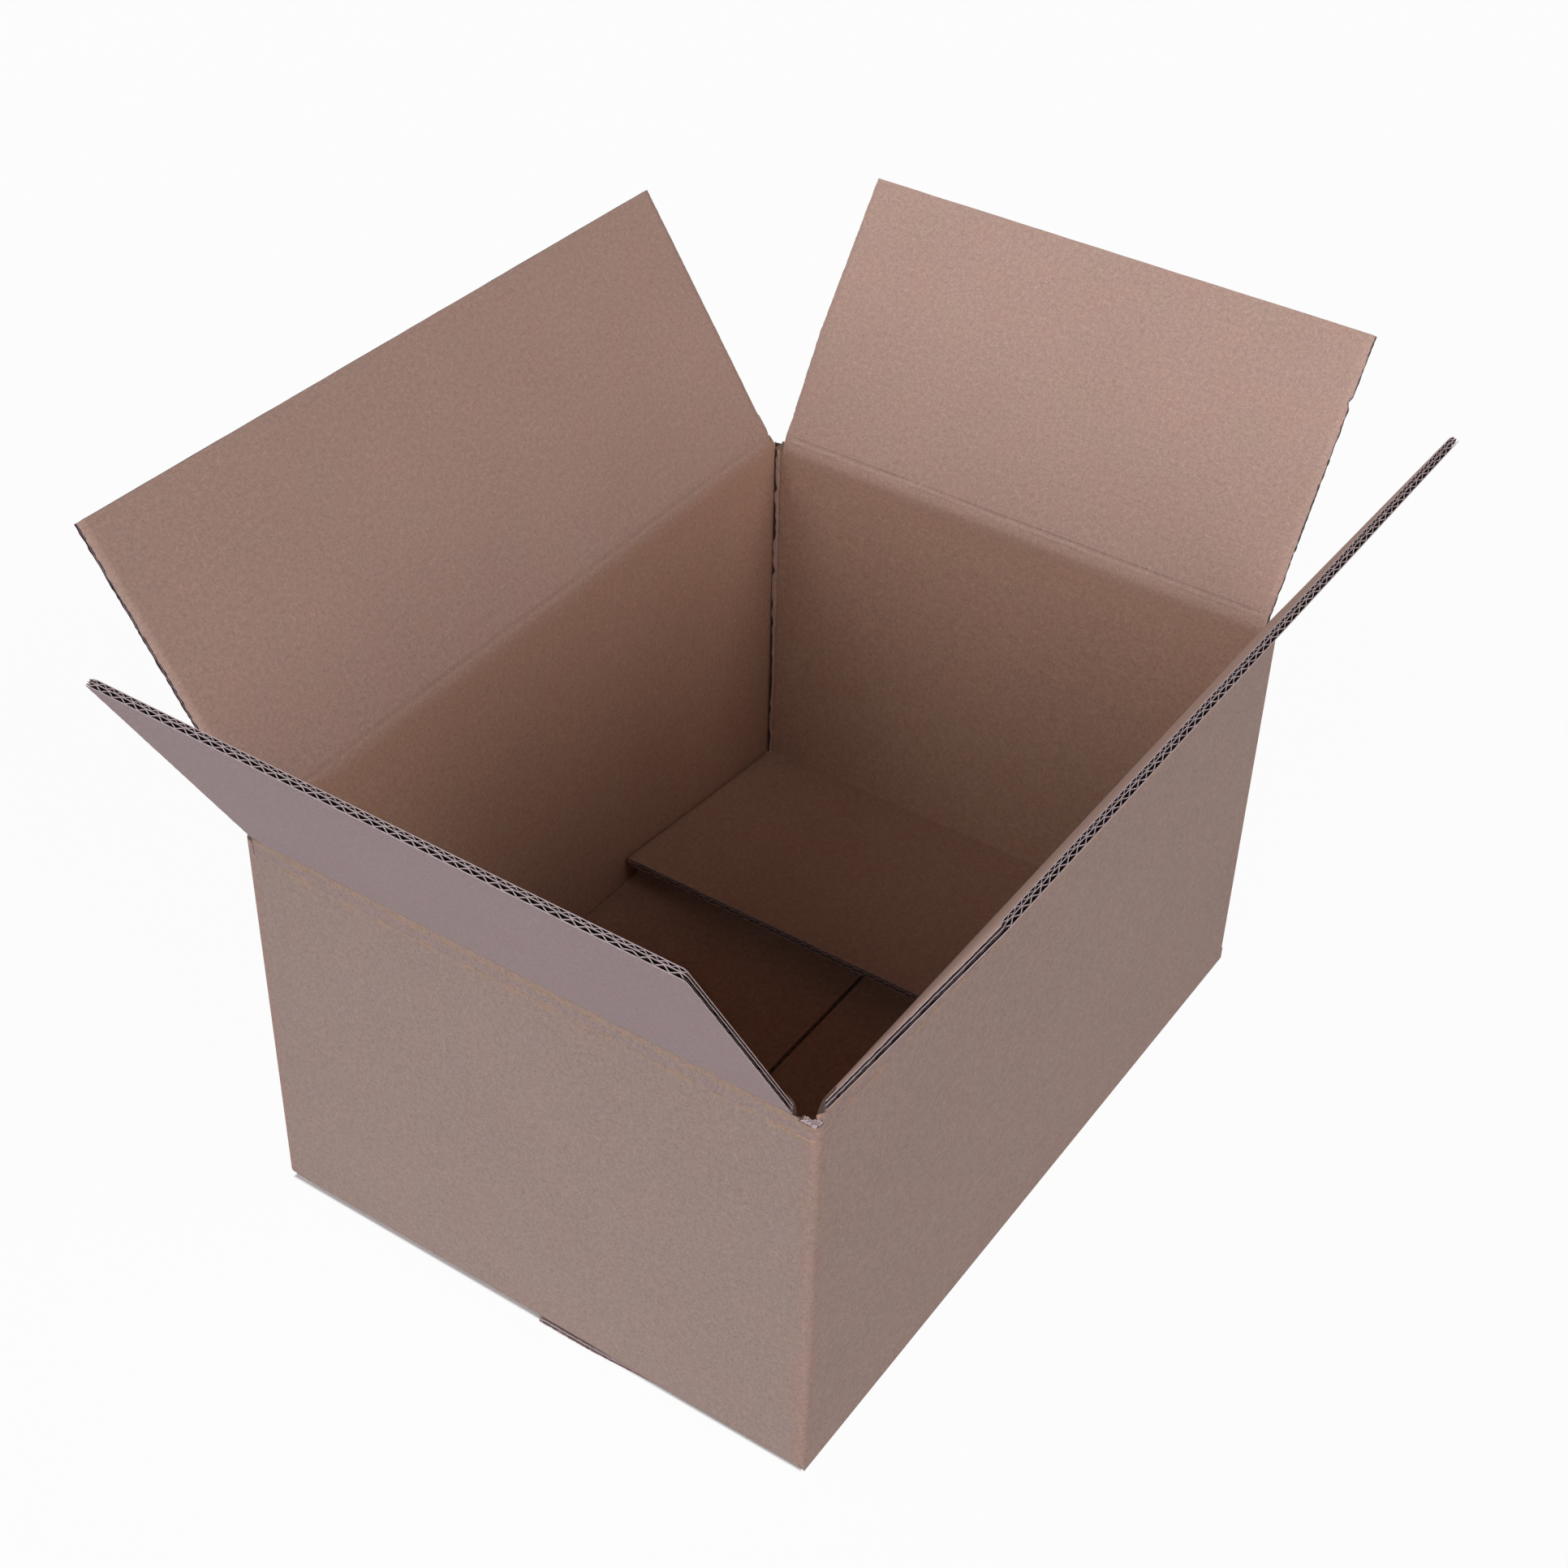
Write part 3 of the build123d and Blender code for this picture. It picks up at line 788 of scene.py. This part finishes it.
class CARTON_OT_top_flaps(bpy.types.Operator):
    """Build the four top flaps with their fluted edges"""
    bl_idname = "carton.top_flaps"
    bl_label = "Top flaps"

    def execute(self, context):
        board = context.scene.carton_board
        papers = carton_papers(board)
        for name, side in SIDES.items():
            piece = flap_paper(side, board).mesh(f"flap_{name}", papers, side["tone_and_painted_light"])
            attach(piece, f"top_flap_{name}_body")
            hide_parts(f"top_flap_{name}")
        return {"FINISHED"}


class CARTON_OT_crease_rolls(bpy.types.Operator):
    """Build the soft rolls of crushed board along the four top creases"""
    bl_idname = "carton.crease_rolls"
    bl_label = "Crease rolls"

    def execute(self, context):
        board = context.scene.carton_board
        papers = carton_papers(board)
        for name, side in SIDES.items():
            piece = roll_paper(side, board).mesh(f"crease_{name}", papers, side["tone_and_painted_light"])
            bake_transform(piece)
        return {"FINISHED"}


class CARTON_OT_torn_edges(bpy.types.Operator):
    """Build the torn paper along the glued corner and in the notches between the flaps"""
    bl_idname = "carton.torn_edges"
    bl_label = "Torn edges"

    def execute(self, context):
        papers = carton_papers(context.scene.carton_board)
        for name, paper, body in (("joint_tear", joint_paper(), "carton"),
                                  ("notch_scraps", torn_paper(), "carton"),
                                  ("base_free_edges", base_free_edges(
                                      context.scene.carton_board), "carton"),
                                  ("base_edge", base_edge_paper(), "base_flap_front_body")):
            piece = paper.mesh(name, papers)
            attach(piece, body)
        return {"FINISHED"}


def sun(name, azimuth, elevation, strength, colour, spread):
    """A soft distant lamp that shines from an azimuth and elevation in degrees."""
    lamp = bpy.data.lights.new(name, "SUN")
    lamp.energy = strength
    lamp.color = colour
    lamp.angle = math.radians(spread)
    turn, rise = math.radians(azimuth), math.radians(elevation)
    way = Vector((math.cos(rise) * math.cos(turn), math.cos(rise) * math.sin(turn),
                  math.sin(rise)))
    piece = bpy.data.objects.new(name, lamp)
    piece.rotation_euler = way.to_track_quat("Z", "Y").to_euler()
    piece.location = way * 3
    bpy.context.scene.collection.objects.link(piece)


def white_floor():
    """A floor that the camera sees almost white, and that still takes the soft shadow."""
    weave = Weave("white_floor")
    path = weave.node("ShaderNodeLightPath", output=0)
    glossy = weave.node("ShaderNodeLightPath", output=3)
    through = weave.node("ShaderNodeLightPath", output=6)
    seen = weave.math("MAXIMUM", weave.math("MAXIMUM", path, glossy), through)
    place = weave.node("ShaderNodeTexCoord", output=3)
    part = [weave.node("ShaderNodeSeparateXYZ", {0: place}, output=k) for k in range(2)]
    beyond = [weave.math("SUBTRACT", weave.math("ABSOLUTE", value), half)
              for value, half in zip(part, FOOT)]
    open_floor = weave.ramp(weave.math("MAXIMUM", *beyond), -0.001, 0.001)
    share = weave.math("MULTIPLY", weave.math("MULTIPLY", seen, 0.955), open_floor)
    diffuse = weave.node("ShaderNodeBsdfDiffuse", {"Color": (0.86, 0.86, 0.88, 1)})
    glow = weave.node("ShaderNodeEmission", {"Color": (1, 1, 1, 1), "Strength": 1.0})
    mixed = weave.node("ShaderNodeMixShader", {0: share, 1: diffuse, 2: glow})
    weave.tree.links.new(mixed, weave.tree.nodes["Material Output"].inputs[0])
    weave.tree.nodes.remove(weave.shader)
    return weave.material


class CARTON_OT_stage(bpy.types.Operator):
    """Set up the floor, the lamps, the white surroundings and the camera"""
    bl_idname = "carton.stage"
    bl_label = "Stage"

    def execute(self, context):
        light = context.scene.carton_light
        mesh = bpy.data.meshes.new("floor")
        mesh.from_pydata([(-4, -4, -0.0004), (4, -4, -0.0004), (4, 4, -0.0004),
                          (-4, 4, -0.0004)], [], [(0, 1, 2, 3)])
        mesh.materials.append(white_floor())
        floor = bpy.data.objects.new("floor", mesh)
        context.scene.collection.objects.link(floor)
        sun("key_lamp", 180, 25, light.key, (1.0, 1.0, 1.0), 50)
        sun("side_lamp", 150, 15, 0.53 * light.key, (0.98, 0.98, 1.0), 50)
        sun("fill_lamp", 265, 30, light.fill, (1.0, 0.94, 0.915), 40)
        sun("low_lamp", 265, 8, 0.26 * light.fill, (1.0, 0.96, 0.94), 40)
        sun("back_lamp", 90, 20, 0.5 * light.key, (1.0, 0.97, 0.95), 50)
        world = bpy.data.worlds.new("surroundings")
        world.use_nodes = True
        tree = world.node_tree
        back = tree.nodes["Background"]
        back.inputs["Color"].default_value = (0.93, 0.95, 1.0, 1.0)
        back.inputs["Strength"].default_value = light.sky
        white = tree.nodes.new("ShaderNodeBackground")
        path = tree.nodes.new("ShaderNodeLightPath")
        either = tree.nodes.new("ShaderNodeMath")
        either.operation = "MAXIMUM"
        every = tree.nodes.new("ShaderNodeMath")
        every.operation = "MAXIMUM"
        mixed = tree.nodes.new("ShaderNodeMixShader")
        white.inputs["Color"].default_value = (1.0, 1.0, 1.0, 1.0)
        white.inputs["Strength"].default_value = 1.0
        tree.links.new(path.outputs["Is Camera Ray"], either.inputs[0])
        tree.links.new(path.outputs["Is Glossy Ray"], either.inputs[1])
        tree.links.new(either.outputs[0], every.inputs[0])
        tree.links.new(path.outputs["Is Transmission Ray"], every.inputs[1])
        tree.links.new(every.outputs[0], mixed.inputs[0])
        tree.links.new(back.outputs[0], mixed.inputs[1])
        tree.links.new(white.outputs[0], mixed.inputs[2])
        tree.links.new(mixed.outputs[0], tree.nodes["World Output"].inputs[0])
        context.scene.world = world
        context.scene.view_settings.view_transform = "Standard"
        lens = bpy.data.cameras.new("camera")
        lens.lens = 59.01
        lens.sensor_width = 36.0
        lens.shift_x = -0.00146
        lens.shift_y = -0.0262
        lens.clip_start = 0.05
        camera = bpy.data.objects.new("camera", lens)
        right = Vector((0.5604, -0.8278, 0.0254))
        up = Vector((0.4980, 0.3613, 0.7883))
        away = Vector((-0.6618, -0.4291, 0.6148))
        turn = Matrix((right, up, away)).transposed()
        camera.matrix_world = Matrix.LocRotScale(
            Vector((-0.95018, -0.61244, 1.12914)), turn, None)
        context.scene.collection.objects.link(camera)
        context.scene.camera = camera
        return {"FINISHED"}


class CARTON_PT_panel(bpy.types.Panel):
    """Lists the carton's pieces and settings"""
    bl_idname = "CARTON_PT_panel"
    bl_label = "Carton"
    bl_space_type = "VIEW_3D"
    bl_region_type = "UI"
    bl_category = "Carton"

    def draw(self, context):
        for piece in PIECES:
            self.layout.operator(piece.bl_idname)
        for group in (context.scene.carton_board, context.scene.carton_light):
            for key in group.bl_rna.properties.keys():
                if key not in ("rna_type", "name"):
                    self.layout.prop(group, key)


PIECES = (CARTON_OT_walls, CARTON_OT_top_flaps, CARTON_OT_crease_rolls,
          CARTON_OT_torn_edges, CARTON_OT_stage)
CLASSES = (CartonBoard, CartonLight) + PIECES + (CARTON_PT_panel,)


def register():
    for item in CLASSES:
        bpy.utils.register_class(item)
    bpy.types.Scene.carton_board = PointerProperty(type=CartonBoard)
    bpy.types.Scene.carton_light = PointerProperty(type=CartonLight)


def unregister():
    del bpy.types.Scene.carton_light
    del bpy.types.Scene.carton_board
    for item in reversed(CLASSES):
        bpy.utils.unregister_class(item)


def main():
    register()
    bpy.ops.carton.walls()
    bpy.ops.carton.top_flaps()
    bpy.ops.carton.crease_rolls()
    bpy.ops.carton.torn_edges()
    bpy.ops.carton.stage()


if __name__ == "__main__":
    main()
